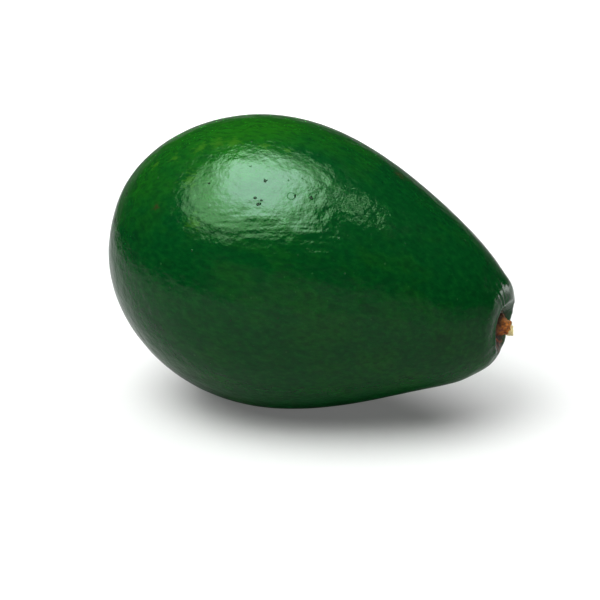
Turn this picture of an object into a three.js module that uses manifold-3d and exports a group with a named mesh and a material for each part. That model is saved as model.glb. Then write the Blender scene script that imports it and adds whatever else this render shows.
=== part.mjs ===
// A large smooth green avocado, lying on its side with its broken stem stub in the puckered pit of the stem end.
// Units are millimetres and degrees. +Z is up, the table is z = 0, and the stem end points to +X.
//
// The skin is a surface of revolution with relief raised along its normals. A point on it is named by two angles:
// its station, from 0 at the blossom tip to 180 at the stem end, and its turn about the fruit's axis, from 0 on the
// upper side through 90 on the side that faces -Y.

import * as THREE from 'three';
import { mergeVertices } from 'three/addons/utils/BufferGeometryUtils.js';
import Module from 'manifold-3d';

// The smooth body
const LENGTH = 150; // blossom tip to the crown of the stem end, along the axis
const RADIUS_HARMONICS = [49.7, 6.3, -0.8, -0.6, 0.4]; // radius = sum of harmonic k times sin(k * station)
const LYING_TILT = 10; // the stem end lies lower than the blossom end
const REST_FLAT_DEPTH = 0.5; // how far the skin is flattened where it rests

// Slow swellings, so that no section is a true circle
const SWELLINGS = [
  { around: 2, along: 1, phase: 248, height: 0.43 },
  { around: 3, along: 2, phase: 17, height: 0.26 },
  { around: 4, along: 3, phase: 327, height: 0.11 },
  { around: 1, along: 3, phase: 76, height: 0.36 },
];

// The shoulder under the stem end is fuller than the rest of the neck
const SHOULDER = { station: 147, turn: 160, stationWidth: 12.5, turnWidth: 50, height: 1.7 };

// The stem end: a raised crown round a pit. Wide hollows lower the crown's near side and narrow ones cut it into lobes
const PIT_DEPTH = 6.5;
const PIT_FLOOR_RADIUS = 4.6;
const PIT_RIM_RADIUS = 10.5;
const CROWN_RADIUS = 14;
const CROWN_WIDTH = 3.8;
const CROWN_HEIGHT = 1;
const HOLLOW_REACH = 10.5; // distance from the axis where the hollows are deepest
const HOLLOWS = [
  { turn: 28, width: 28, depth: 1.6 },
  { turn: 75, width: 42, depth: 2.8 },
  { turn: 121, width: 9, depth: 0.3 },
  { turn: 160, width: 10, depth: 0.5 },
  { turn: 200, width: 9, depth: 0.2 },
  { turn: 245, width: 10, depth: 1.3 },
  { turn: 297, width: 8, depth: 0.25 },
  { turn: 335, width: 40, depth: 0.5 },
];

// The blossom end: the small dimple of the fallen style
const STYLE_SCAR_RADIUS = 2.4;
const STYLE_SCAR_DEPTH = 0.6;

// The stem stub: a woody root in a plain socket, a collar on the pit's floor and a shaft with a slanting break
const CLEARANCE = 0.3;
const SOCKET_RADIUS = 3.5;
const SOCKET_DEPTH = 2.4; // below the pit's floor
const STUB_PROFILE = [ // rise is measured from the pit's floor
  { radius: 4.1, rise: 0.8 },
  { radius: 4.3, rise: 1.5 },
  { radius: 3.8, rise: 2.4 },
  { radius: 3.1, rise: 3.2 },
  { radius: 2.7, rise: 4.2 },
  { radius: 2.8, rise: 6.0 },
  { radius: 2.3, rise: 6.7 },
  { radius: 1.3, rise: 6.4 },
  { radius: 0, rise: 6.9 },
];
const COLLAR_RISE = 1.5; // the height at which the bark's ridges are at their full size
const SHAFT_RISE = 4.2; // the height at which the slant of the break begins
const BREAK_RISE = 6.7;
const BREAK_SLANT = 1.5; // at the shaft's side
const BREAK_LOW_TURN = 330; // the turn at which the break is lowest
const BARK_RIDGES = [
  { around: 5, phase: 20, share: 0.07 },
  { around: 3, phase: 110, share: 0.06 },
];

// Fineness of the faceted surfaces
const SKIN_SIDES = 80;
const SKIN_RINGS = 46;
const RING_CROWDING = 1.6; // over 1 crowds the rings towards the stem end
const STUB_SIDES = 22;

const SKIN_COLOUR = 0x0c4a1c;
const STEM_COLOUR = 0x8a5a2b;

const radians = THREE.MathUtils.degToRad;
const degrees = THREE.MathUtils.radToDeg;
const { smoothstep } = THREE.MathUtils;
const wasm = await Module();
wasm.setup();

// The undisturbed section at a station: distance along the axis, radius, and the outward normal in that plane.
function bodySection(station) {
  let radius = 0;
  let slope = 0;
  RADIUS_HARMONICS.forEach((height, i) => {
    radius += height * Math.sin((i + 1) * station);
    slope += height * (i + 1) * Math.cos((i + 1) * station);
  });
  const along = (LENGTH / 2) * (1 - Math.cos(station));
  const advance = (LENGTH / 2) * Math.sin(station);
  const normal = new THREE.Vector2(-slope, advance).normalize();
  return { along, radius: Math.max(radius, 0), normal };
}

// Signed difference of two turns, from -180 to 180 degrees.
function turnBetween(a, b) {
  return THREE.MathUtils.euclideanModulo(a - b + 180, 360) - 180;
}

function bell(distance, width) {
  return Math.exp(-((distance / width) ** 2));
}

function swelling(station, turn) {
  return SWELLINGS.reduce(
    (sum, s) => sum + s.height * Math.sin(s.around * turn + radians(s.phase)) * Math.sin(s.along * station),
    0,
  );
}

function shoulder(station, turn) {
  const alongIt = bell(degrees(station) - SHOULDER.station, SHOULDER.stationWidth);
  const roundIt = bell(turnBetween(degrees(turn), SHOULDER.turn), SHOULDER.turnWidth);
  return SHOULDER.height * alongIt * roundIt;
}

function hollowing(turn, radius) {
  const reach = (radius / HOLLOW_REACH) ** 2;
  const depth = HOLLOWS.reduce((sum, h) => sum + h.depth * bell(turnBetween(degrees(turn), h.turn), h.width), 0);
  return depth * reach * Math.exp(1 - reach);
}

// The raised crown, its hollows and the pit. All but the pit are nothing at the axis.
function stemEnd(station, turn, radius) {
  const raised = shoulder(station, turn) + CROWN_HEIGHT * bell(radius - CROWN_RADIUS, CROWN_WIDTH);
  const pit = PIT_DEPTH * (1 - smoothstep(radius, PIT_FLOOR_RADIUS, PIT_RIM_RADIUS));
  return raised * smoothstep(radius, 0, PIT_RIM_RADIUS) - hollowing(turn, radius) - pit;
}

// Height of the skin above the undisturbed body, along its normal.
function relief(station, turn, radius) {
  let height = swelling(station, turn);
  if (station > Math.PI / 2) {
    height += stemEnd(station, turn, radius);
  } else {
    height -= STYLE_SCAR_DEPTH * bell(radius, STYLE_SCAR_RADIUS);
  }
  return height;
}

// Moves every vertex of a lathe, whose u runs round it and v along it, to the point that place(u, v) gives.
function reshape(lathe, place) {
  const { position, uv } = lathe.attributes;
  for (let i = 0; i < position.count; i++) {
    position.setXYZ(i, ...place(uv.getX(i), uv.getY(i)));
  }
  return lathe;
}

// A point of the fruit's own frame: the axis is +X, turn 0 is +Z and turn 90 is -Y.
function aboutAxis(along, radius, turn) {
  return [along, -radius * Math.sin(turn), radius * Math.cos(turn)];
}

function stationOf(v) {
  return Math.PI * (1 - (1 - v) ** RING_CROWDING);
}

function skinGeometry() {
  const outline = Array.from({ length: SKIN_RINGS + 1 }, (_, i) => {
    const { along, radius } = bodySection(stationOf(i / SKIN_RINGS));
    return new THREE.Vector2(radius, along);
  });
  return reshape(new THREE.LatheGeometry(outline, SKIN_SIDES), (u, v) => {
    const station = stationOf(v);
    const turn = 2 * Math.PI * u;
    const { along, radius, normal } = bodySection(station);
    const height = relief(station, turn, radius);
    return aboutAxis(along + height * normal.x, Math.max(radius + height * normal.y, 0), turn);
  });
}

function stubGeometry() {
  const floor = LENGTH - PIT_DEPTH;
  const root = floor - SOCKET_DEPTH + CLEARANCE;
  const neck = SOCKET_RADIUS - CLEARANCE;
  const outline = [
    new THREE.Vector2(0, root),
    new THREE.Vector2(neck, root),
    new THREE.Vector2(neck, floor + 2 * CLEARANCE),
    ...STUB_PROFILE.map(({ radius, rise }) => new THREE.Vector2(radius, floor + rise)),
  ];
  const last = outline.length - 1;
  return reshape(new THREE.LatheGeometry(outline, STUB_SIDES), (u, v) => {
    const { x: radius, y: along } = outline[Math.round(v * last)];
    const rise = along - floor;
    const turn = 2 * Math.PI * u;
    const ridge = BARK_RIDGES.reduce((sum, r) => sum + r.share * Math.sin(r.around * turn + radians(r.phase)), 0);
    const slant = BREAK_SLANT * smoothstep(rise, SHAFT_RISE, BREAK_RISE) * (radius / SOCKET_RADIUS);
    const drop = slant * Math.cos(turn - radians(BREAK_LOW_TURN));
    return aboutAxis(along - drop, radius * (1 + ridge * smoothstep(rise, 0, COLLAR_RISE)), turn);
  });
}

// A closed geometry as a solid that can be cut, and back again.
function toSolid(geometry) {
  const bare = new THREE.BufferGeometry();
  bare.setAttribute('position', geometry.getAttribute('position'));
  bare.setIndex(geometry.index);
  const merged = mergeVertices(bare);
  return new wasm.Manifold(
    new wasm.Mesh({
      numProp: 3,
      vertProperties: merged.attributes.position.array,
      triVerts: new Uint32Array(merged.index.array),
    }),
  );
}

function toGeometry(solid) {
  const { vertProperties, triVerts } = solid.getMesh();
  const geometry = new THREE.BufferGeometry();
  geometry.setAttribute('position', new THREE.BufferAttribute(vertProperties, 3));
  geometry.setIndex(new THREE.BufferAttribute(triVerts, 1));
  geometry.computeVertexNormals();
  return geometry;
}

// The round hole in the pit's floor that the stub stands in. Half of the cutter stands above the floor.
function socketGeometry() {
  const depth = 2 * SOCKET_DEPTH;
  const socket = new THREE.CylinderGeometry(SOCKET_RADIUS, SOCKET_RADIUS, depth, STUB_SIDES);
  return socket.rotateZ(Math.PI / 2).translate(LENGTH - PIT_DEPTH, 0, 0);
}

// Everything under the table, in the fruit's own frame: a box that is larger than the fruit on every side.
function underTableGeometry(lying) {
  const size = 3 * LENGTH;
  lying.updateMatrixWorld(true);
  return new THREE.BoxGeometry(size, size, size)
    .translate(0, 0, -size / 2)
    .applyMatrix4(lying.matrixWorld.clone().invert());
}

// Lays the group on its side, centred over the origin, with its lowest point a flat's depth under the table.
function layDown(lying) {
  lying.rotation.y = radians(LYING_TILT);
  const box = new THREE.Box3().setFromObject(lying, true);
  const centre = box.getCenter(new THREE.Vector3());
  lying.position.set(-centre.x, -centre.y, -box.min.z - REST_FLAT_DEPTH);
}

const skinMaterial = new THREE.MeshStandardMaterial({ color: SKIN_COLOUR, roughness: 0.3, metalness: 0 });
const stemMaterial = new THREE.MeshStandardMaterial({ color: STEM_COLOUR, roughness: 0.85, metalness: 0 });

const fruit = new THREE.Mesh(skinGeometry(), skinMaterial);
fruit.name = 'fruit';
const stemStub = new THREE.Mesh(stubGeometry(), stemMaterial);
stemStub.name = 'stem_stub';

const lying = new THREE.Group();
lying.add(fruit, stemStub);
layDown(lying);
fruit.geometry = toGeometry(
  toSolid(fruit.geometry).subtract(toSolid(socketGeometry())).subtract(toSolid(underTableGeometry(lying))),
);

const avocado = new THREE.Group();
avocado.add(lying);

export default avocado;
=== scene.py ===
# The looks of a large smooth green avocado that lies on its side, with its broken stem stub in the
# pit of its stem end. The skin and the stub are built finely from the dimensions of the CAD solids.
# Dimensions here are millimetres and degrees. The meshes, the lights and the camera are in metres.

import math

import bpy
import numpy as np
from mathutils import Matrix, Vector, noise


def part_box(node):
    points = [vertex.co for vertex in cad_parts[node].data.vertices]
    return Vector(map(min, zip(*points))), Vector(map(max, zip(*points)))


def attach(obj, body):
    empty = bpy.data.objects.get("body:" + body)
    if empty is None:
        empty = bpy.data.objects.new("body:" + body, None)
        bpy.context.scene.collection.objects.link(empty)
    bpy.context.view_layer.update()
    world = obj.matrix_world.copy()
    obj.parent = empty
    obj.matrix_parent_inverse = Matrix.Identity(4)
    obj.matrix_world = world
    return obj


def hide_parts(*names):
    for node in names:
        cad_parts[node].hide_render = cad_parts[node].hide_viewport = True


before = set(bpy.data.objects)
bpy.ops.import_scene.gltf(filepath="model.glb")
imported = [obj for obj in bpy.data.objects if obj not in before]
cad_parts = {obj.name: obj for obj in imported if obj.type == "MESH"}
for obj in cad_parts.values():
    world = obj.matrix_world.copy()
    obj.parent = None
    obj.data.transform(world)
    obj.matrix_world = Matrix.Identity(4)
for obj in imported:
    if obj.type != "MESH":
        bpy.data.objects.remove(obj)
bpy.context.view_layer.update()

MM = 0.001

# The smooth body, as in the CAD model
LENGTH = 150.0
RADIUS_HARMONICS = (49.7, 6.3, -0.8, -0.6, 0.4)
LYING_TILT = 10.0
REST_FLAT_DEPTH = 0.5
SWELLINGS = (  # waves around, waves along, phase, height
    (2, 1, 248, 0.43),
    (3, 2, 17, 0.26),
    (4, 3, 327, 0.11),
    (1, 3, 76, 0.36),
)
SHOULDER_STATION = 147.0
SHOULDER_TURN = 160.0
SHOULDER_STATION_WIDTH = 12.5
SHOULDER_TURN_WIDTH = 50.0
SHOULDER_HEIGHT = 1.7

# The stem end and the style's scar, as in the CAD model
PIT_DEPTH = 6.5
PIT_FLOOR_RADIUS = 4.6
PIT_RIM_RADIUS = 10.5
CROWN_RADIUS = 14.0
CROWN_WIDTH = 3.8
CROWN_HEIGHT = 1.0
HOLLOW_REACH = 10.5
HOLLOWS = (  # turn, width, depth
    (28, 28, 1.6),
    (75, 42, 2.8),
    (121, 9, 0.3),
    (160, 10, 0.5),
    (200, 9, 0.2),
    (245, 10, 1.3),
    (297, 8, 0.25),
    (335, 40, 0.5),
)
SOCKET_RADIUS = 3.5
SOCKET_DEPTH = 2.4
SOCKET_WALL = 0.2  # only here: the CAD model's hole has an upright wall
STYLE_SCAR_RADIUS = 2.4
STYLE_SCAR_DEPTH = 0.6

# The stub, as in the CAD model
CLEARANCE = 0.3
STUB_PROFILE = (  # radius, rise above the pit's floor
    (4.1, 0.8),
    (4.3, 1.5),
    (3.8, 2.4),
    (3.1, 3.2),
    (2.7, 4.2),
    (2.8, 6.0),
    (2.3, 6.7),
    (1.3, 6.4),
    (0.0, 6.9),
)
COLLAR_RISE = 1.5
SHAFT_RISE = 4.2
BREAK_RISE = 6.7
BREAK_SLANT = 1.5
BREAK_LOW_TURN = 330.0
BARK_RIDGES = ((5, 20, 0.07), (3, 110, 0.06))  # waves around, phase, share of the radius

# Fine relief of the stub
BREAK_EDGE = 0.7  # the bark's relief ends this far below the break
TORN_LENGTH = 1.5  # the torn wood starts to show this far below the break,
TORN_FULL = 0.3  # and covers all from this far below it
STRAW_SLANT = 1.2  # how much lower the torn wood reaches on the stub's underside
BARK_LUMPS = ((2.0, 0.6, 3), (1.0, 0.36, 5))  # size, height, seed of the noise
BARK_SHRINK = 0.2
FIBRE_SIZE = 0.45
FIBRE_STRETCH = 4.0
FIBRE_HEIGHT = 0.12
SPLINTERS = ((0.8, 0.9, 19), (0.35, 0.45, 23))  # size, height, seed of the noise
SPLINTER_DROP = 0.35

# Fine relief of the skin, where the pit is dry, and the painted shade in its furrows
RIPPLE_SIZE = 5.0
RIPPLE_STRETCH = 3.0
RIPPLE_HEIGHT = 0.05
PEBBLE_SIZE = 4.5
PEBBLE_HEIGHT = 0.05
PUCKER_COUNT = 27
PUCKER_RADIUS = 11.5
PUCKER_WIDTH = 3.6
PUCKER_HEIGHT = 0.18
PUCKER_TURN = 330.0  # the turn at which the folds are deepest
PUCKER_SPREAD = 60.0
PUCKER_WANDER_RADIUS = 20.0  # of the circle on which the noise is read
PUCKER_WANDER_SIZE = 9.0
LIP_RADIUS = 10.4
LIP_WIDTH = 0.9
LIP_HEIGHT = 0.35
LIP_TURN = 95.0
LIP_SPREAD = 50.0
PIT_LUMP_SIZE = 1.7
PIT_LUMP_HEIGHT = 0.35
PIT_LUMP_RADIUS = 7.2
PIT_LUMP_WIDTH = 1.8
PIT_DRY_RADIUS = 6.5  # the skin is dry and brown inside this radius,
PIT_DRY_EXTRA = 2.9  # and this much farther out at the turn below
PIT_DRY_TURN = 172.0
PIT_DRY_SPREAD = 72.0
PIT_DRY_FADE = 1.6
FURROW_WIDTH = 20.0  # a hollow narrower than this gets painted shade, as a furrow
FURROW_SHADE_LENGTH = 5.0
FURROW_DARKEST = 0.8

# Fineness of the meshes
SKIN_SIDES = 320
SKIN_RINGS = 300
RING_CROWDING = 1.6
STUB_SIDES = 128
STUB_RINGS = 120
STAGE_SIDES = 96

# The light, in metres: a softbox over the fruit, a table top, a white card and low pale walls
SOFTBOX_PLACE = (-0.22, -0.42, 0.9)
SOFTBOX_TURN = 35.0
SOFTBOX_HALF_SIZE = (0.96, 0.62)
SOFTBOX_SQUARENESS = 2.4  # 2 is an oval, and more is nearer a rectangle
SOFTBOX_EVEN_SHARE = 0.4  # of its half size, as far as which its middle is even
SOFTBOX_CORE_PLACE = (0.15, 0.215)
SOFTBOX_CORE_HALF_SIZE = (0.31, 0.35)
SOFTBOX_CORE_FADE = 0.16
SOFTBOX_CORE_RADIANCE = 28.0
SOFTBOX_MIDDLE_RADIANCE = 13.5
SOFTBOX_EDGE_RADIANCE = 4.5
SOFTBOX_RIB_TURN = 12.0
SOFTBOX_RIB_PLACE = 0.65
SOFTBOX_RIB_FADE = 0.012
SOFTBOX_ISLAND_PLACE = 0.8  # a small island of light beyond the rib,
SOFTBOX_ISLAND_HALF_WIDTH = 0.02
SOFTBOX_ISLAND_END = 0.2  # and where it ends across that direction
SOFTBOX_ISLAND_RADIANCE = 24.0
SOFTBOX_CORE_COLOUR = (0.64, 1.0, 0.8, 1)
SOFTBOX_MIDDLE_COLOUR = (0.48, 1.0, 0.48, 1)
TABLE_PLACE = (0.08, -0.02, -0.0002)
TABLE_RADIUS = 0.75
TABLE_NEAR = 0.2  # the table is full bright as far as this,
TABLE_FAR = 0.74  # and dark from here on
TABLE_BRIGHTNESS = 0.52
SHADE_PLACE = (-0.08, 0.05, 0)  # the middle of the painted shade under the fruit, from the table's middle
SHADE_NEAR = 0.03
SHADE_FAR = 0.085
SHADE_SHARE = 0.35
CARD_PLACE = (0.32, 0.4, 0)  # a white card that lies behind the stem end, from the table's middle
CARD_NEAR = 0.12
CARD_FAR = 0.28
CARD_BRIGHTNESS = 0.95
CARD_GLOW = 1.0
MATT_ROUGHNESS = 0.9
SKY_RADIANCE = 0.01
# Each wall's direction, the cosines between which it starts, the sines of the heights between
# which it ends, and its radiance
WALLS = (
    ((0.26, -0.97, 0), (0.62, 0.84), (0.2, 0.36), 0.3),
    ((0.77, -0.64, 0), (0.4, 0.8), (-0.05, 0.16), 0.5),
    ((0, 1, 0), (0.3, 0.95), (-0.1, 0.2), 0.26),
)
# Each lamp's place, aim, size and radiance
KEY_LIGHT = ((-0.35, -0.45, 0.85), (0, 0, 0.05), (1.1, 0.9), 3.4)
CEILING_FILL = ((-0.19, 0.4, 1.5), (-0.19, 0.4, 0.0), (3.2, 3.2), 1.75)
CARD_BEHIND = ((0.74, 0.67, 0.08), (0.07, 0, 0.05), (0.42, 0.3), 4.6)

# The floor and the wall behind it, in metres. Both glow, more so farther from the fruit, and so
# they stay pale
BACKDROP_RADIUS = 4.0
BACKDROP_BEND = 1.5
BACKDROP_HEIGHT = 4.0
BACKDROP_RINGS = 16
FLOOR_DROP = 0.0001  # the gap between the fruit and the floor that the camera sees
FLOOR_COLOUR = (0.8, 0.8, 0.8, 1)
FLOOR_SPECULAR = 0.1
GLOW_NEAR = 0.15
GLOW_FAR = 0.9
GLOW_NEAR_RADIANCE = 0.12

# The camera. Its distance is in metres
CAMERA_AZIMUTH = 18.5
CAMERA_ELEVATION = 20.0
CAMERA_DISTANCE = 0.6
CAMERA_LENS = 100.0
CAMERA_SENSOR = 36.0
AIM_ALONG = 67.5  # the camera's aim is this far along the fruit's axis,
AIM_RIGHT = 3.0  # and moved by this much in the picture's own directions
AIM_UP = -12.3


def bell(distance, width):
    return np.exp(-((distance / width) ** 2))


def smoothstep(value, low, high):
    t = np.clip((value - low) / (high - low), 0, 1)
    return t * t * (3 - 2 * t)


def turn_between(a, b):
    """Signed difference of two turns, from -180 to 180 degrees."""
    return (a - b + 180) % 360 - 180


def noise_at(points, size, stretch=1.0, seed=0.0):
    """Smooth noise, about -1 to 1, at points of the fruit's own frame, drawn out along its axis."""
    scaled = points / size * (1 / stretch, 1, 1) + (seed, 0, 0)
    return np.array([noise.noise(p) for p in scaled.reshape(-1, 3).tolist()]).reshape(points.shape[:-1])


def body_section(station):
    """Distance along the axis, radius, and the two parts of the outward normal, at a station."""
    radius = sum(h * np.sin(k * station) for k, h in enumerate(RADIUS_HARMONICS, start=1))
    slope = sum(h * k * np.cos(k * station) for k, h in enumerate(RADIUS_HARMONICS, start=1))
    along = LENGTH / 2 * (1 - np.cos(station))
    advance = LENGTH / 2 * np.sin(station)
    size = np.hypot(slope, advance)
    return along, np.maximum(radius, 0), -slope / size, advance / size


def about_axis(along, radius, turn):
    """A point of the fruit's own frame: the axis is +X, turn 0 is +Z and turn 90 is -Y."""
    return np.stack([along, -radius * np.sin(turn), radius * np.cos(turn)], axis=-1)


def swelling(station, turn):
    return sum(
        height * np.sin(around * turn + math.radians(phase)) * np.sin(along * station)
        for around, along, phase, height in SWELLINGS
    )


def bell_around(turn, middle, width):
    """1 at the middle turn, falling off to both sides. Middle and width are degrees."""
    return bell(turn_between(np.degrees(turn), middle), width)


def shoulder(station, turn):
    along_it = bell(np.degrees(station) - SHOULDER_STATION, SHOULDER_STATION_WIDTH)
    return SHOULDER_HEIGHT * along_it * bell_around(turn, SHOULDER_TURN, SHOULDER_TURN_WIDTH)


def hollowing(turn, radius):
    reach = (radius / HOLLOW_REACH) ** 2
    depth = sum(depth * bell_around(turn, middle, width) for middle, width, depth in HOLLOWS)
    return depth * reach * np.exp(1 - reach)


def stem_end(station, turn, radius):
    """The raised crown and its hollows, which are nothing at the axis."""
    raised = shoulder(station, turn) + CROWN_HEIGHT * bell(radius - CROWN_RADIUS, CROWN_WIDTH)
    return raised * smoothstep(radius, 0, PIT_RIM_RADIUS) - hollowing(turn, radius)


def furrow_shade(turn, radius):
    """How much painted shade darkens the narrow hollows, from 0 to 1."""
    narrow = [hollow for hollow in HOLLOWS if hollow[1] < FURROW_WIDTH]
    depth = sum(depth * bell_around(turn, middle, width) for middle, width, depth in narrow)
    return np.clip(depth * bell(radius - HOLLOW_REACH, FURROW_SHADE_LENGTH), 0, FURROW_DARKEST)


def pit_share(turn, radius):
    """How dry and brown the skin is: wholly so in the pit's floor, and farther up its lower wall."""
    edge = PIT_DRY_RADIUS + PIT_DRY_EXTRA * bell_around(turn, PIT_DRY_TURN, PIT_DRY_SPREAD)
    return 1 - smoothstep(radius - edge, -PIT_DRY_FADE, PIT_DRY_FADE)


def puckers(turn, radius):
    """Fine folds that run down into the pit, each of its own height."""
    circle = about_axis(0 * radius, PUCKER_WANDER_RADIUS + 0 * radius, turn)
    wander = noise_at(circle, PUCKER_WANDER_SIZE, seed=31)
    folds = np.sin(PUCKER_COUNT * turn + 6 * wander) * (0.5 + 0.5 * np.sin(5 * turn + 3 * wander))
    folds = folds * (0.2 + 0.8 * bell_around(turn, PUCKER_TURN, PUCKER_SPREAD))
    return PUCKER_HEIGHT * folds * bell(radius - PUCKER_RADIUS, PUCKER_WIDTH)


def pit_edge(turn, radius, points):
    """A thin lip on the near side of the pit, and the lumps of its dry wall."""
    lip = bell(radius - LIP_RADIUS, LIP_WIDTH) * bell_around(turn, LIP_TURN, LIP_SPREAD)
    lumps = noise_at(points, PIT_LUMP_SIZE, seed=61) * bell(radius - PIT_LUMP_RADIUS, PIT_LUMP_WIDTH)
    return LIP_HEIGHT * lip + PIT_LUMP_HEIGHT * lumps


def skin_relief(station, turn, radius, points):
    """Height of the skin above the smooth body, along its normal."""
    stem_side = station > math.pi / 2
    out_of_pit = smoothstep(radius, PIT_FLOOR_RADIUS, PIT_RIM_RADIUS)
    out_of_socket = smoothstep(radius, SOCKET_RADIUS - SOCKET_WALL, SOCKET_RADIUS)
    pit = PIT_DEPTH * (1 - out_of_pit) + SOCKET_DEPTH * (1 - out_of_socket)
    folds = puckers(turn, radius) + pit_edge(turn, radius, points)
    height = swelling(station, turn) + (stem_end(station, turn, radius) + folds - pit) * stem_side
    height = height - STYLE_SCAR_DEPTH * bell(radius, STYLE_SCAR_RADIUS) * ~stem_side
    ripples = RIPPLE_HEIGHT * (noise_at(points, RIPPLE_SIZE, RIPPLE_STRETCH, seed=7) - 1)
    pebbles = PEBBLE_HEIGHT * (noise_at(points, PEBBLE_SIZE, seed=53) - 1)
    return height + (ripples + pebbles) * np.where(stem_side, out_of_pit, 1.0)


def ring_quads(index):
    """The quads between rings of vertex numbers, and each number's neighbour around its ring."""
    beside = np.roll(index, -1, axis=1)
    quads = np.stack([index[:-1], index[1:], beside[1:], beside[:-1]], axis=-1).reshape(-1, 4)
    return quads.tolist(), beside


def add_object(name, data):
    added = bpy.data.objects.new(name, data)
    bpy.context.scene.collection.objects.link(added)
    return added


def joined_rings(values):
    """Values of all rings in one row. The first ring and the last are single points at the ends."""
    return np.concatenate([values[:1, 0], values[1:-1].reshape(-1, *values.shape[2:]), values[-1:, 0]])


def grid_mesh(name, points, attributes):
    """A closed mesh from rings of points, with attributes that have a value at every point."""
    rings, sides = points.shape[:2]
    vertices = joined_rings(points)
    index = 1 + np.arange((rings - 2) * sides).reshape(rings - 2, sides)
    quads, beside = ring_quads(index)
    last = len(vertices) - 1
    start = np.stack([0 * index[0], index[0], beside[0]], axis=-1)
    end = np.stack([last + 0 * index[-1], beside[-1], index[-1]], axis=-1)
    mesh = bpy.data.meshes.new(name)
    mesh.from_pydata((vertices * MM).tolist(), [], start.tolist() + quads + end.tolist())
    for key, values in attributes.items():
        kind, field = ("FLOAT_VECTOR", "vector") if values.ndim == 3 else ("FLOAT", "value")
        attribute = mesh.attributes.new(key, kind, "POINT")
        attribute.data.foreach_set(field, joined_rings(values).ravel().astype(np.float32))
    mesh.shade_smooth()
    mesh.update()
    return add_object(name, mesh)


def skin_points():
    """The skin's points in the fruit's own frame, and its turn and radius at each."""
    v = np.linspace(0, 1, SKIN_RINGS + 1)[:, None]
    station = math.pi * (1 - (1 - v) ** RING_CROWDING) + np.zeros(SKIN_SIDES)
    turn = np.linspace(0, 2 * math.pi, SKIN_SIDES, endpoint=False) + 0 * station
    along, radius, lengthwise, outward = body_section(station)
    smooth = about_axis(along, radius, turn)
    height = skin_relief(station, turn, radius, smooth)
    moved = about_axis(along + height * lengthwise, np.maximum(radius + height * outward, 0), turn)
    return moved, station, turn, radius


def lay(points, origin):
    """Points of the fruit's own frame as they lie in the world, given where its origin is."""
    tilt = Matrix.Rotation(math.radians(LYING_TILT), 3, "Y")
    return points @ np.array(tilt).T + origin


def resting_origin(points):
    """Where the frame's origin lies, so that the skin fills the CAD solid's box and rests flat."""
    low, high = (np.array(corner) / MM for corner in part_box("fruit"))
    lying = lay(points, np.zeros(3)).reshape(-1, 3)
    own_low, own_high = lying.min(axis=0), lying.max(axis=0)
    middle = (low + high - own_low - own_high) / 2
    return np.array([low[0] - own_low[0], middle[1], -own_low[2] - REST_FLAT_DEPTH])


def srgb(red, green, blue):
    """A colour given from 0 to 255 as a picture shows it, as the linear colour that a shader takes."""
    parts = [c / 255 for c in (red, green, blue)]
    linear = [c / 12.92 if c <= 0.04045 else ((c + 0.055) / 1.055) ** 2.4 for c in parts]
    return (*linear, 1.0)


class Nodes:
    """A node tree that is filled by short calls, which take sockets or plain values."""

    def __init__(self, tree):
        self.tree = tree

    def node(self, kind, inputs=(), **settings):
        made = self.tree.nodes.new(kind)
        for name, value in settings.items():
            setattr(made, name, value)
        for key, value in dict(inputs).items():
            self.put(made.inputs[key], value)
        return made

    def put(self, socket, value):
        if isinstance(value, bpy.types.NodeSocket):
            self.tree.links.new(value, socket)
        else:
            socket.default_value = value

    def attribute(self, name, output):
        return self.node("ShaderNodeAttribute", attribute_name=name).outputs[output]

    def parts(self, vector):
        return self.node("ShaderNodeSeparateXYZ", {0: vector}).outputs

    def math(self, operation, a, b=0.0, clamp=False):
        made = self.node("ShaderNodeMath", {0: a, 1: b}, operation=operation, use_clamp=clamp)
        return made.outputs[0]

    def vector(self, operation, a, b, output="Vector"):
        return self.node("ShaderNodeVectorMath", {0: a, 1: b}, operation=operation).outputs[output]

    def remap(self, value, low, high, to_low=0.0, to_high=1.0):
        """A smooth step from to_low, where the value is low, to to_high, where it is high."""
        inputs = {"Value": value, "From Min": low, "From Max": high}
        inputs.update({"To Min": to_low, "To Max": to_high})
        made = self.node("ShaderNodeMapRange", inputs, interpolation_type="SMOOTHSTEP")
        return made.outputs["Result"]

    def mix(self, factor, a, b):
        return self.node("ShaderNodeMix", {0: factor, 6: a, 7: b}, data_type="RGBA").outputs[2]

    def stretched(self, vector, stretch):
        return self.vector("MULTIPLY", vector, (1 / stretch, 1, 1))

    def noise(self, vector, size, detail=2.0, roughness=0.5):
        inputs = {"Vector": vector, "Scale": 1 / size, "Detail": detail, "Roughness": roughness}
        return self.node("ShaderNodeTexNoise", inputs).outputs["Fac"]

    def cells(self, vector, size):
        """The distance to the nearest of many scattered points."""
        made = self.node("ShaderNodeTexVoronoi", {"Vector": vector, "Scale": 1 / size})
        return made.outputs["Distance"]

    def bump(self, height, distance, normal=None):
        inputs = {"Height": height, "Distance": distance * MM, "Strength": 1.0}
        made = self.node("ShaderNodeBump", inputs)
        if normal is not None:
            self.put(made.inputs["Normal"], normal)
        return made.outputs["Normal"]


class Shader(Nodes):
    """A material and its nodes."""

    def __init__(self, name):
        self.material = bpy.data.materials.new(name)
        self.material.use_nodes = True
        super().__init__(self.material.node_tree)
        self.principled = self.tree.nodes["Principled BSDF"]

    def surface(self, inputs):
        """Give inputs of the surface, by their names, their sockets or plain values."""
        for name, value in inputs.items():
            self.put(self.principled.inputs[name], value)


# Painted shade and painted light: the skin's green as shaded and as lit, mixed by the side that faces
# the light
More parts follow.
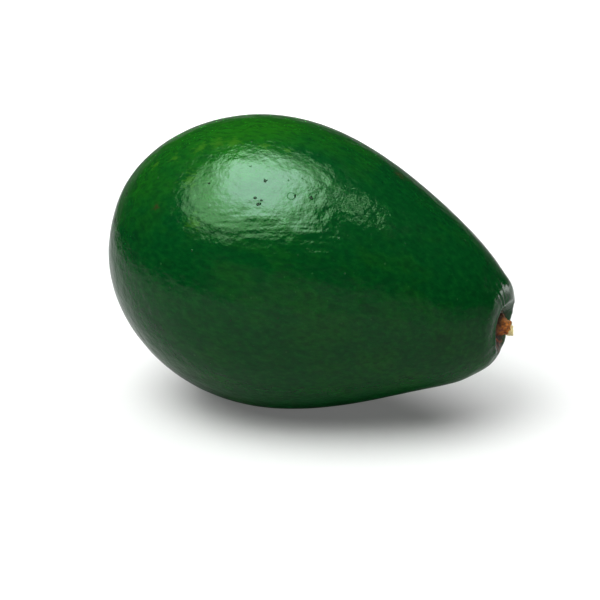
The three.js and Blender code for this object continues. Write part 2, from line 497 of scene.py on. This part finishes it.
PAINTED_SHADE_GREEN = srgb(3, 64, 23)
PAINTED_LIT_GREEN = srgb(22, 87, 13)
FLECK_GREEN = srgb(20, 100, 30)
DEEP_GREEN = srgb(2, 44, 20)
PALE_GREEN = srgb(60, 115, 27)
LENTICEL_GREEN = srgb(52, 104, 54)
CORK_BROWN = srgb(10, 20, 12)
SCUFF_BROWN = srgb(52, 44, 26)
PIT_BROWN = srgb(60, 36, 20)
PIT_RED = srgb(150, 78, 50)
PIT_DARK = srgb(30, 20, 12)
FURROW_PAINTED_SHADE_GREEN = srgb(10, 34, 16)
SCAR_BROWN = srgb(92, 66, 38)

MARKS = (  # station, turn and radius of each corky speck on the side that shows
    (80.1, 38.8, 0.62),
    (79.5, 46.8, 0.6),
    (81.3, 47.1, 0.35),
    (80.9, 48.9, 0.66),
    (92.7, 39.1, 0.65),
    (65.5, 45.3, 0.45),
    (88.9, 40.9, 0.45),
    (30.0, 51.7, 0.9),
    (25.4, 71.0, 1.1),
)
SCUFFS = (  # station, turn and radius of each brownish patch
    (50.1, 58.4, 1.6),
    (108.7, 353.3, 2.6),
    (111.1, 343.5, 2.2),
)
PALE_PATCHES = (  # station, turn and radius of each yellowish patch
    (49.5, 33.0, 2.2),
    (41.6, 35.0, 2.0),
    (57.0, 27.0, 3.4),
    (61.9, 24.6, 3.6),
    (66.9, 23.6, 3.4),
    (75.5, 22.4, 2.0),
    (81.7, 21.6, 1.8),
    (59.1, 45.0, 4.0),
    (65.5, 62.0, 3.0),
)
RING_PLACE = (87.9, 41.4)
RING_RADIUS = 1.3
RING_WIDTH = 0.4
RING_STRENGTH = 0.6
LINES_TURN = 56.0  # the long fine lines under the middle of the skin's shine
LINES_ALONG = 72.0
LINES_ARC = 52.7  # millimetres around the fruit for each radian there
LINES_SLANT = 0.345
LINES_LENGTH = 16.0
LINES_WIDTH = 2.8
LINES_HEIGHT = 0.24
LINES_TURN_FADE = (0.06, 0.2)  # they fade out over these radians from their turn,
LINES_ALONG_FADE = (15.0, 40.0)  # and over these millimetres from their middle

# Painted light: the skin is painted lighter green on its upper side, where the light falls. The side is
# given by a direction from a place on the axis, in the fruit's own frame
PAINTED_LIGHT_MIDDLE = (0.42 * LENGTH, 0, 0)
PAINTED_LIGHT_DIRECTION = (-0.54, 0.3, 0.78)
PAINTED_LIGHT_START = 0.3
PAINTED_LIGHT_FULL = 0.95
PAINTED_LIGHT_VARIATION = 0.2
SCAR_RADIUS = 1.6

# The skin's colour: sizes of its noises and spacings of its dots, and how strong each layer is
SKIN_STRETCH = 2.2
BROAD_SIZE = 26.0
BLOTCH_SIZE = 7.0
FLECK_SIZE = 1.5
DARK_BLOTCHES = 0.6
DARK_FLECKS = 0.4
LIGHT_FLECKS = 0.18
PATCH_RAGGED_SIZE = 1.1
PATCH_STRENGTH = 0.45
SCUFF_STRENGTH = 0.7
LENTICEL_SPACING = 3.1
LENTICEL_STRENGTH = 0.4
LENTICEL_CLUSTER_SIZE = 4.0
SPECK_SPACING = 8.0
SPECK_STRENGTH = 0.7
SPECK_RAGGED_SIZE = 0.7
CRUMB_SIZE = 1.4

# The skin's gloss
SKIN_IOR = 1.26
SKIN_ROUGHNESS = (0.1, 0.17)
CORK_ROUGHNESS = 0.6  # these are added to the skin's own
PIT_ROUGHNESS = 0.5
SCAR_ROUGHNESS = 0.4

# Relief that is finer than the mesh
LUMP_SIZE = 4.4
LUMP_HEIGHT = 0.36
STREAK_SIZE = 2.8
STREAK_STRETCH = 3.5
STREAK_HEIGHT = 0.08
GRAIN_SIZE = 1.3
GRAIN_HEIGHT = 0.06
MARK_DEPTH = 0.3
CORK_DEPTH = 0.07
CRUMB_HEIGHT = 0.8


def skin_place(station, turn):
    """A place on the body's skin, in the fruit's own frame."""
    along, radius, lengthwise, outward = body_section(math.radians(station))
    height = swelling(math.radians(station), math.radians(turn))
    return tuple(about_axis(along + height * lengthwise, radius + height * outward, math.radians(turn)))


def spots(shader, own, ragged, marks, core):
    """How much a point is inside any of the marks. Core is the share of each mark that is solid."""
    inside = 0.0
    for station, turn, size in marks:
        apart = shader.vector("DISTANCE", own, skin_place(station, turn), "Value")
        spot = shader.remap(shader.math("MULTIPLY", apart, ragged), core * size, size, 1.0, 0.0)
        inside = shader.math("MAXIMUM", inside, spot)
    return inside


def ring(shader, own):
    """A thin round scar."""
    apart = shader.vector("DISTANCE", own, skin_place(*RING_PLACE), "Value")
    off = shader.math("ABSOLUTE", shader.math("SUBTRACT", apart, RING_RADIUS))
    return shader.remap(off, 0.0, RING_WIDTH, RING_STRENGTH, 0.0)


def fine_lines(shader, own):
    """Long fine lines that run a little aslant along the side that shows."""
    x, y, z = shader.parts(own)
    turn = shader.math("ARCTAN2", shader.math("MULTIPLY", y, -1.0), z)
    around = shader.math("MULTIPLY", turn, LINES_ARC)
    around = shader.math("ADD", around, shader.math("MULTIPLY", x, LINES_SLANT))
    joined = shader.node("ShaderNodeCombineXYZ", {"X": x, "Y": around}).outputs[0]
    scaled = shader.vector("MULTIPLY", joined, (1 / LINES_LENGTH, 1 / LINES_WIDTH, 0))
    centred = shader.math("SUBTRACT", shader.noise(scaled, 1.0, 1.0), 0.5)
    off_turn = shader.math("ABSOLUTE", shader.math("SUBTRACT", turn, math.radians(LINES_TURN)))
    off_along = shader.math("ABSOLUTE", shader.math("SUBTRACT", x, LINES_ALONG))
    near_turn = shader.remap(off_turn, *LINES_TURN_FADE, 1.0, 0.0)
    near_along = shader.remap(off_along, *LINES_ALONG_FADE, 1.0, 0.0)
    return shader.math("MULTIPLY", shader.math("MULTIPLY", centred, near_turn), near_along)


def mottled_green(shader, own, blotch, fleck):
    """Green with painted light, lighter on the upper side where the light falls, with blotches, and
    flecks darker and lighter.
    """
    broad = shader.noise(own, BROAD_SIZE)
    painted_light = shader.attribute("painted_light", "Fac")
    varied = shader.remap(broad, 0.3, 0.7, -PAINTED_LIGHT_VARIATION, PAINTED_LIGHT_VARIATION)
    painted_light = shader.math("ADD", painted_light, varied)
    varied = shader.remap(blotch, 0.3, 0.7, -PAINTED_LIGHT_VARIATION, PAINTED_LIGHT_VARIATION)
    painted_light = shader.math("ADD", painted_light, varied, clamp=True)
    # painted light: the lit green on the upper side and the shaded green below, varied at random in
    # tone
    colour = shader.mix(painted_light, PAINTED_SHADE_GREEN, PAINTED_LIT_GREEN)
    colour = shader.mix(shader.remap(fleck, 0.36, 0.52, DARK_FLECKS, 0.0), colour, DEEP_GREEN)
    colour = shader.mix(shader.remap(fleck, 0.52, 0.66, 0.0, LIGHT_FLECKS), colour, FLECK_GREEN)
    return shader.mix(shader.remap(blotch, 0.56, 0.7, 0.0, DARK_BLOTCHES), colour, DEEP_GREEN)


def patched(shader, own, drawn, colour):
    """The colour with the yellowish patches and the brownish scuffs on it."""
    ragged = shader.noise(drawn, PATCH_RAGGED_SIZE, 3.0, 0.6)
    ragged = shader.remap(ragged, 0.35, 0.65, 0.4, 1.8)
    patches = spots(shader, own, ragged, PALE_PATCHES, 0.0)
    colour = shader.mix(shader.math("MULTIPLY", patches, PATCH_STRENGTH), colour, PALE_GREEN)
    scuffs = spots(shader, own, ragged, SCUFFS, 0.1)
    return shader.mix(shader.math("MULTIPLY", scuffs, SCUFF_STRENGTH), colour, SCUFF_BROWN)


def lenticels(shader, own, fleck):
    """Small pale ragged dots, in clusters."""
    ragged = shader.remap(fleck, 0.3, 0.7, 0.5, 2.0)
    ragged = shader.math("MULTIPLY", shader.cells(own, LENTICEL_SPACING), ragged)
    dots = shader.remap(ragged, 0.04, 0.13, LENTICEL_STRENGTH, 0.0)
    clusters = shader.remap(shader.noise(own, LENTICEL_CLUSTER_SIZE, 1.0), 0.45, 0.6)
    return shader.math("MULTIPLY", dots, clusters)


def corky_marks(shader, own):
    """The corky marks on the side that shows, and all cork: the marks, small specks and the ring."""
    ragged = shader.remap(shader.noise(own, SPECK_RAGGED_SIZE), 0.3, 0.7, 0.6, 1.4)
    specks = shader.math("MULTIPLY", shader.cells(own, SPECK_SPACING), ragged)
    specks = shader.remap(specks, 0.03, 0.06, SPECK_STRENGTH, 0.0)
    marks = spots(shader, own, ragged, MARKS, 0.6)
    cork = shader.math("MAXIMUM", marks, shader.math("MAXIMUM", specks, ring(shader, own)))
    return marks, cork


def dry_brown(shader, crumbs):
    """The dry skin of the pit, with reddish and dark crumbs."""
    dry = shader.mix(shader.remap(crumbs, 0.5, 0.62), PIT_BROWN, PIT_RED)
    return shader.mix(shader.remap(crumbs, 0.38, 0.48, 0.9, 0.0), dry, PIT_DARK)


def skin_normal(shader, own, marks, cork, crumbs):
    """The relief that is finer than the mesh."""
    streaks = shader.noise(shader.stretched(own, STREAK_STRETCH), STREAK_SIZE)
    normal = shader.bump(shader.noise(own, LUMP_SIZE, 3.0), LUMP_HEIGHT)
    normal = shader.bump(streaks, STREAK_HEIGHT, normal)
    normal = shader.bump(fine_lines(shader, own), LINES_HEIGHT, normal)
    normal = shader.bump(shader.noise(own, GRAIN_SIZE, 3.0, 0.6), GRAIN_HEIGHT, normal)
    normal = shader.bump(marks, -MARK_DEPTH, normal)
    normal = shader.bump(cork, -CORK_DEPTH, normal)
    return shader.bump(crumbs, CRUMB_HEIGHT, normal)


def skin_material():
    shader = Shader("skin")
    own = shader.attribute("own", "Vector")
    pit = shader.attribute("pit", "Fac")
    scar = shader.attribute("scar", "Fac")
    drawn = shader.stretched(own, SKIN_STRETCH)
    blotch = shader.noise(drawn, BLOTCH_SIZE, 4.0, 0.6)
    fleck = shader.noise(drawn, FLECK_SIZE, 3.0, 0.65)
    crumbs = shader.noise(own, CRUMB_SIZE)
    marks, cork = corky_marks(shader, own)

    colour = patched(shader, own, drawn, mottled_green(shader, own, blotch, fleck))
    colour = shader.mix(lenticels(shader, own, fleck), colour, LENTICEL_GREEN)
    colour = shader.mix(cork, colour, CORK_BROWN)
    # painted shade: the narrow furrows are painted darker green
    colour = shader.mix(shader.attribute("furrow_painted_shade", "Fac"), colour, FURROW_PAINTED_SHADE_GREEN)
    colour = shader.mix(pit, colour, dry_brown(shader, crumbs))
    colour = shader.mix(scar, colour, SCAR_BROWN)

    rough = shader.remap(blotch, 0.3, 0.7, *SKIN_ROUGHNESS)
    for share, extra in ((cork, CORK_ROUGHNESS), (pit, PIT_ROUGHNESS), (scar, SCAR_ROUGHNESS)):
        rough = shader.math("ADD", rough, shader.math("MULTIPLY", share, extra))

    normal = skin_normal(shader, own, marks, cork, shader.math("MULTIPLY", crumbs, pit))
    shader.surface({"Base Color": colour, "Roughness": rough, "Normal": normal, "IOR": SKIN_IOR})
    return shader.material


def skin_piece():
    points, station, turn, radius = skin_points()
    origin = resting_origin(points)
    stem_side = station > math.pi / 2
    laid = lay(points, origin)
    laid[..., 2] = np.maximum(laid[..., 2], 0)
    outward = points - PAINTED_LIGHT_MIDDLE
    outward = outward / np.linalg.norm(outward, axis=-1, keepdims=True)
    attributes = {
        "own": points,
        # painted light: how much lighter the skin is painted on the upper side, which faces the light
        "painted_light": smoothstep(outward @ np.array(PAINTED_LIGHT_DIRECTION), PAINTED_LIGHT_START, PAINTED_LIGHT_FULL),
        "pit": pit_share(turn, radius) * stem_side,
        # painted shade in the narrow furrows
        "furrow_painted_shade": furrow_shade(turn, radius) * stem_side,
        "scar": bell(radius, SCAR_RADIUS) * ~stem_side,
    }
    piece = grid_mesh("fruit_skin", laid, attributes)
    piece.data.materials.append(skin_material())
    return piece, origin


def stub_outline():
    """The stub's outline as closely spaced radii and distances along the fruit's axis."""
    floor = LENGTH - PIT_DEPTH
    root = floor - SOCKET_DEPTH + CLEARANCE
    neck = SOCKET_RADIUS - CLEARANCE
    corners = [(0, root), (neck, root), (neck, floor + 2 * CLEARANCE)]
    corners += [(radius, floor + rise) for radius, rise in STUB_PROFILE]
    corners = np.array(corners, float)
    run = np.concatenate([[0], np.cumsum(np.linalg.norm(np.diff(corners, axis=0), axis=1))])
    at = np.linspace(0, run[-1], STUB_RINGS + 1)
    outline = np.stack([np.interp(at, run, corners[:, 0]), np.interp(at, run, corners[:, 1])], axis=-1)
    for _ in range(3):
        outline[1:-1] = (outline[:-2] + 2 * outline[1:-1] + outline[2:]) / 4
    return outline


def summed_noise(points, layers):
    return sum(height * noise_at(points, size, seed=seed) for size, height, seed in layers)


def stub_points():
    """The stub's points in the fruit's own frame, and at each its rise and how much it is torn."""
    outline = stub_outline()
    floor = LENGTH - PIT_DEPTH
    radius = outline[:, :1] + np.zeros(STUB_SIDES)
    along = outline[:, 1:] + np.zeros(STUB_SIDES)
    turn = np.linspace(0, 2 * math.pi, STUB_SIDES, endpoint=False) + 0 * radius
    rise = along - floor
    ridge = sum(s * np.sin(around * turn + math.radians(phase)) for around, phase, s in BARK_RIDGES)
    free = smoothstep(rise, 0, COLLAR_RISE)
    slant = BREAK_SLANT * smoothstep(rise, SHAFT_RISE, BREAK_RISE) * radius / SOCKET_RADIUS
    drop = slant * np.cos(turn - math.radians(BREAK_LOW_TURN))
    place = about_axis(along, radius, turn)
    fibres = FIBRE_HEIGHT * noise_at(place, FIBRE_SIZE, stretch=FIBRE_STRETCH, seed=11)
    bark = summed_noise(place, BARK_LUMPS) + fibres - BARK_SHRINK
    side = 1 - smoothstep(rise, BREAK_RISE - BREAK_EDGE, BREAK_RISE)
    radius = radius * (1 + ridge * free) + bark * free * side * (radius > 0)
    slanted = rise - STRAW_SLANT * np.cos(turn) * radius / SOCKET_RADIUS
    torn = smoothstep(slanted, BREAK_RISE - TORN_LENGTH, BREAK_RISE - TORN_FULL)
    splinters = summed_noise(place * (0, 1, 1), SPLINTERS) - SPLINTER_DROP
    along = along - drop + splinters * torn
    return about_axis(along, np.maximum(radius, 0), turn), rise, torn


BARK_ORANGE = srgb(214, 122, 40)
BARK_BROWN = srgb(122, 56, 22)
# dark fibres of the bark, and also the painted shade at the stub's root
BARK_DARK_AND_PAINTED_SHADE = srgb(38, 16, 9)
TORN_STRAW = srgb(255, 240, 176)


def stub_material():
    shader = Shader("stem")
    own = shader.attribute("own", "Vector")
    rise = shader.attribute("rise", "Fac")
    torn = shader.attribute("torn", "Fac")
    lumps = shader.noise(own, 1.2, 3.0, 0.6)
    fibres = shader.noise(shader.stretched(own, 5.0), 0.4, 3.0, 0.6)
    bark = shader.mix(shader.remap(lumps, 0.35, 0.65), BARK_BROWN, BARK_ORANGE)
    bark = shader.mix(shader.remap(fibres, 0.3, 0.6, 0.6, 0.0), bark, BARK_DARK_AND_PAINTED_SHADE)
    # painted shade: the stub is painted darker toward its root, down in the pit
    bark = shader.mix(shader.remap(rise, 1.2, 4.2, 0.9, 0.0), bark, BARK_DARK_AND_PAINTED_SHADE)
    straw = shader.mix(shader.remap(fibres, 0.3, 0.65, 0.4, 0.0), TORN_STRAW, BARK_ORANGE)
    edge = shader.math("ADD", torn, shader.remap(lumps, 0.3, 0.7, -0.3, 0.3))
    colour = shader.mix(shader.remap(edge, 0.35, 0.65), bark, straw)
    normal = shader.bump(fibres, 0.12)
    normal = shader.bump(shader.noise(own, 0.25, 2.0), 0.05, normal)
    rough = shader.remap(lumps, 0.3, 0.7, 0.65, 0.85)
    shader.surface({"Base Color": colour, "Roughness": rough, "Normal": normal})
    return shader.material


def stub_piece(origin):
    points, rise, torn = stub_points()
    piece = grid_mesh("stem_bark", lay(points, origin), {"own": points, "rise": rise, "torn": torn})
    piece.data.materials.append(stub_material())
    return piece


def backdrop_rings():
    """Rings of points from the floor's rim through the bend to the top of the wall."""
    bend = np.linspace(0, math.pi / 2, BACKDROP_RINGS)
    reach = np.append(BACKDROP_RADIUS - BACKDROP_BEND * (1 - np.sin(bend)), BACKDROP_RADIUS)
    height = np.append(BACKDROP_BEND * (1 - np.cos(bend)), BACKDROP_HEIGHT)
    turns = np.linspace(0, 2 * math.pi, STAGE_SIDES, endpoint=False)
    x = np.outer(reach, np.cos(turns))
    y = np.outer(reach, np.sin(turns))
    z = np.outer(height, np.ones(STAGE_SIDES))
    return np.stack([x, y, z], axis=-1)


def floor_material():
    shader = Shader("floor")
    place = shader.node("ShaderNodeTexCoord").outputs["Object"]
    distance = shader.vector("LENGTH", place, (0, 0, 0), "Value")
    shader.surface({
        "Base Color": FLOOR_COLOUR,
        "Roughness": MATT_ROUGHNESS,
        "Specular IOR Level": FLOOR_SPECULAR,
        "Emission Color": (1, 1, 1, 1),
        "Emission Strength": shader.remap(distance, GLOW_NEAR, GLOW_FAR, GLOW_NEAR_RADIANCE, 1.0),
    })
    return shader.material


def floor_piece():
    """A plain pale floor that bends up into a pale wall all round. Only the camera sees it."""
    rings = backdrop_rings()
    index = np.arange(rings[..., 0].size).reshape(rings.shape[:2])
    mesh = bpy.data.meshes.new("floor")
    mesh.from_pydata(rings.reshape(-1, 3).tolist(), [], [index[0].tolist()] + ring_quads(index)[0])
    mesh.shade_smooth()
    mesh.materials.append(floor_material())
    floor = add_object("floor", mesh)
    floor.location.z = -FLOOR_DROP
    floor.visible_glossy = False
    floor.visible_diffuse = False
    floor.visible_shadow = False
    return floor


def area_light(name, place, aim, size, radiance):
    """An oval area light that has this radiance whatever its size. The camera doesn't see it."""
    light = bpy.data.lights.new(name, "AREA")
    light.shape = "ELLIPSE"
    light.size, light.size_y = size
    light.energy = radiance * math.pi * (math.pi / 4 * size[0] * size[1])
    lamp = add_object(name, light)
    lamp.location = place
    lamp.rotation_euler = (Vector(aim) - Vector(place)).to_track_quat("-Z", "Y").to_euler()
    lamp.visible_camera = False
    return lamp


def flat_piece(name, outline, place, facing_up):
    """A flat stage piece with this outline. The camera doesn't see it and it casts no shadow."""
    mesh = bpy.data.meshes.new(name)
    order = list(range(len(outline)))
    mesh.from_pydata(outline.tolist(), [], [order if facing_up else order[::-1]])
    piece = add_object(name, mesh)
    piece.location = place
    piece.visible_camera = False
    piece.visible_shadow = False
    return piece


def off_centre(shader, coordinate, centre, half_width, fade):
    """1 within half_width of the centre and 0 outside it, with a soft edge."""
    off = shader.math("ABSOLUTE", shader.math("SUBTRACT", coordinate, centre))
    return shader.remap(off, half_width - fade, half_width + fade, 1.0, 0.0)


def across_at(shader, place, turn):
    """The coordinate of a place along a direction that is turned from +X."""
    direction = (math.cos(math.radians(turn)), math.sin(math.radians(turn)), 0)
    return shader.vector("DOT_PRODUCT", place, direction, "Value")


def softbox_glow(shader):
    """Its colour and strength: brightest in the core, dimmer at the rim, an island past the rib."""
    place = shader.node("ShaderNodeTexCoord").outputs["Object"]
    reach = 0.0
    for turn, half_size in zip((SOFTBOX_TURN, SOFTBOX_TURN + 90), SOFTBOX_HALF_SIZE):
        share = shader.math("DIVIDE", across_at(shader, place, turn), half_size)
        share = shader.math("ABSOLUTE", share)
        reach = shader.math("ADD", reach, shader.math("POWER", share, SOFTBOX_SQUARENESS))
    reach = shader.math("POWER", reach, 1 / SOFTBOX_SQUARENESS)
    radiances = SOFTBOX_MIDDLE_RADIANCE, SOFTBOX_EDGE_RADIANCE
    around = shader.remap(reach, SOFTBOX_EVEN_SHARE, 1.0, *radiances)
    across, down = (
        off_centre(shader, coordinate, middle, half_size, SOFTBOX_CORE_FADE)
        for coordinate, middle, half_size in zip(
            shader.parts(place)[:2], SOFTBOX_CORE_PLACE, SOFTBOX_CORE_HALF_SIZE
        )
    )
    core = shader.math("MULTIPLY", across, down)
    extra = shader.math("SUBTRACT", SOFTBOX_CORE_RADIANCE, around)
    strength = shader.math("ADD", around, shader.math("MULTIPLY", core, extra))
    crossing = across_at(shader, place, SOFTBOX_RIB_TURN)
    aside = across_at(shader, place, SOFTBOX_RIB_TURN + 90)
    fade = SOFTBOX_RIB_FADE
    before_rib = shader.remap(crossing, SOFTBOX_RIB_PLACE - fade, SOFTBOX_RIB_PLACE + fade, 1.0, 0.0)
    beyond = off_centre(shader, crossing, SOFTBOX_ISLAND_PLACE, SOFTBOX_ISLAND_HALF_WIDTH, fade)
    ends = SOFTBOX_ISLAND_END - fade, SOFTBOX_ISLAND_END + fade
    island = shader.remap(aside, *ends, 0.0, SOFTBOX_ISLAND_RADIANCE)
    strength = shader.math("MULTIPLY", strength, before_rib)
    strength = shader.math("ADD", strength, shader.math("MULTIPLY", island, beyond))
    return shader.mix(core, SOFTBOX_MIDDLE_COLOUR, SOFTBOX_CORE_COLOUR), strength


def softbox_piece():
    """A softbox over the fruit. Only reflections show it."""
    turns = np.linspace(0, 2 * math.pi, STAGE_SIDES, endpoint=False)
    cosine, sine = np.cos(turns), np.sin(turns)
    across = SOFTBOX_HALF_SIZE[0] * np.sign(cosine) * abs(cosine) ** (2 / SOFTBOX_SQUARENESS)
    down = SOFTBOX_HALF_SIZE[1] * np.sign(sine) * abs(sine) ** (2 / SOFTBOX_SQUARENESS)
    rim = np.stack([across, down, 0 * turns], axis=-1)
    rim = rim @ np.array(Matrix.Rotation(math.radians(SOFTBOX_TURN), 3, "Z")).T
    softbox = flat_piece("softbox", rim, SOFTBOX_PLACE, False)
    shader = Shader("softbox")
    colour, strength = softbox_glow(shader)
    shader.surface({
        "Base Color": (0, 0, 0, 1),
        "Specular IOR Level": 0,
        "Emission Color": colour,
        "Emission Strength": strength,
    })
    softbox.data.materials.append(shader.material)
    softbox.visible_diffuse = False
    return softbox


def table_material():
    """Grey that is dark farther out and has painted shade under the fruit, with a glowing white card
    behind.
    """
    shader = Shader("table")
    place = shader.node("ShaderNodeTexCoord").outputs["Object"]
    from_middle = shader.vector("LENGTH", place, (0, 0, 0), "Value")
    from_shade = shader.vector("DISTANCE", place, SHADE_PLACE, "Value")
    from_card = shader.vector("DISTANCE", place, CARD_PLACE, "Value")
    top = shader.remap(from_middle, TABLE_NEAR, TABLE_FAR, TABLE_BRIGHTNESS, 0.0)
    # painted shade under the fruit
    shade = shader.remap(from_shade, SHADE_NEAR, SHADE_FAR, SHADE_SHARE, 1.0)
    card = shader.remap(from_card, CARD_NEAR, CARD_FAR, CARD_BRIGHTNESS, 0.0)
    grey = shader.math("MAXIMUM", shader.math("MULTIPLY", top, shade), card)
    colour = shader.node("ShaderNodeCombineXYZ", {"X": grey, "Y": grey, "Z": grey}).outputs[0]
    shader.surface({
        "Base Color": colour,
        "Roughness": MATT_ROUGHNESS,
        "Specular IOR Level": 0,
        "Emission Color": (1, 1, 1, 1),
        "Emission Strength": shader.remap(from_card, CARD_NEAR, CARD_FAR, CARD_GLOW, 0.0),
    })
    return shader.material


def table_piece():
    """The table top as it lights the skin. The camera sees the floor in its place."""
    turns = np.linspace(0, 2 * math.pi, STAGE_SIDES, endpoint=False)
    rim = TABLE_RADIUS * np.stack([np.cos(turns), np.sin(turns), 0 * turns], axis=-1)
    table = flat_piece("table", rim, TABLE_PLACE, True)
    table.data.materials.append(table_material())
    return table


def studio():
    softbox_piece()
    table_piece()
    area_light("key_light", *KEY_LIGHT).visible_glossy = False
    area_light("ceiling_fill", *CEILING_FILL).visible_glossy = False
    area_light("card_behind", *CARD_BEHIND).visible_diffuse = False
    sky_world()


def sky_world():
    """A dark room with a few low pale walls."""
    world = bpy.data.worlds.new("studio")
    world.use_nodes = True
    shader = Nodes(world.node_tree)
    direction = shader.node("ShaderNodeTexCoord").outputs["Generated"]
    height = shader.parts(direction)[2]
    glow = SKY_RADIANCE
    for facing, (start, full), (low, high), radiance in WALLS:
        side = shader.remap(shader.vector("DOT_PRODUCT", direction, facing, "Value"), start, full)
        wall = shader.math("MULTIPLY", side, shader.remap(height, low, high, radiance, 0.0))
        glow = shader.math("ADD", glow, wall)
    background = world.node_tree.nodes["Background"]
    background.inputs["Color"].default_value = (1, 1, 1, 1)
    shader.put(background.inputs["Strength"], glow)
    bpy.context.scene.world = world


def camera(origin):
    """The photo's camera, as fitted to the fruit's outline."""
    azimuth, elevation = math.radians(CAMERA_AZIMUTH), math.radians(CAMERA_ELEVATION)
    back = Vector((math.sin(azimuth), -math.cos(azimuth), 0)) * math.cos(elevation)
    back.z = math.sin(elevation)
    right = Vector((math.cos(azimuth), math.sin(azimuth), 0))
    up = back.cross(right)
    aim = Vector(lay(np.array([AIM_ALONG, 0, 0]), origin)) + AIM_RIGHT * right + AIM_UP * up
    data = bpy.data.cameras.new("camera")
    data.lens = CAMERA_LENS
    data.sensor_width = CAMERA_SENSOR
    made = add_object("camera", data)
    made.location = aim * MM + back * CAMERA_DISTANCE
    made.rotation_euler = (-back).to_track_quat("-Z", "Y").to_euler()
    bpy.context.scene.camera = made


skin, origin = skin_piece()
stub = stub_piece(origin)
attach(skin, "root")
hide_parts("fruit")
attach(stub, "root")
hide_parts("stem_stub")

floor_piece()
studio()
camera(origin)
bpy.context.scene.view_settings.view_transform = "Standard"
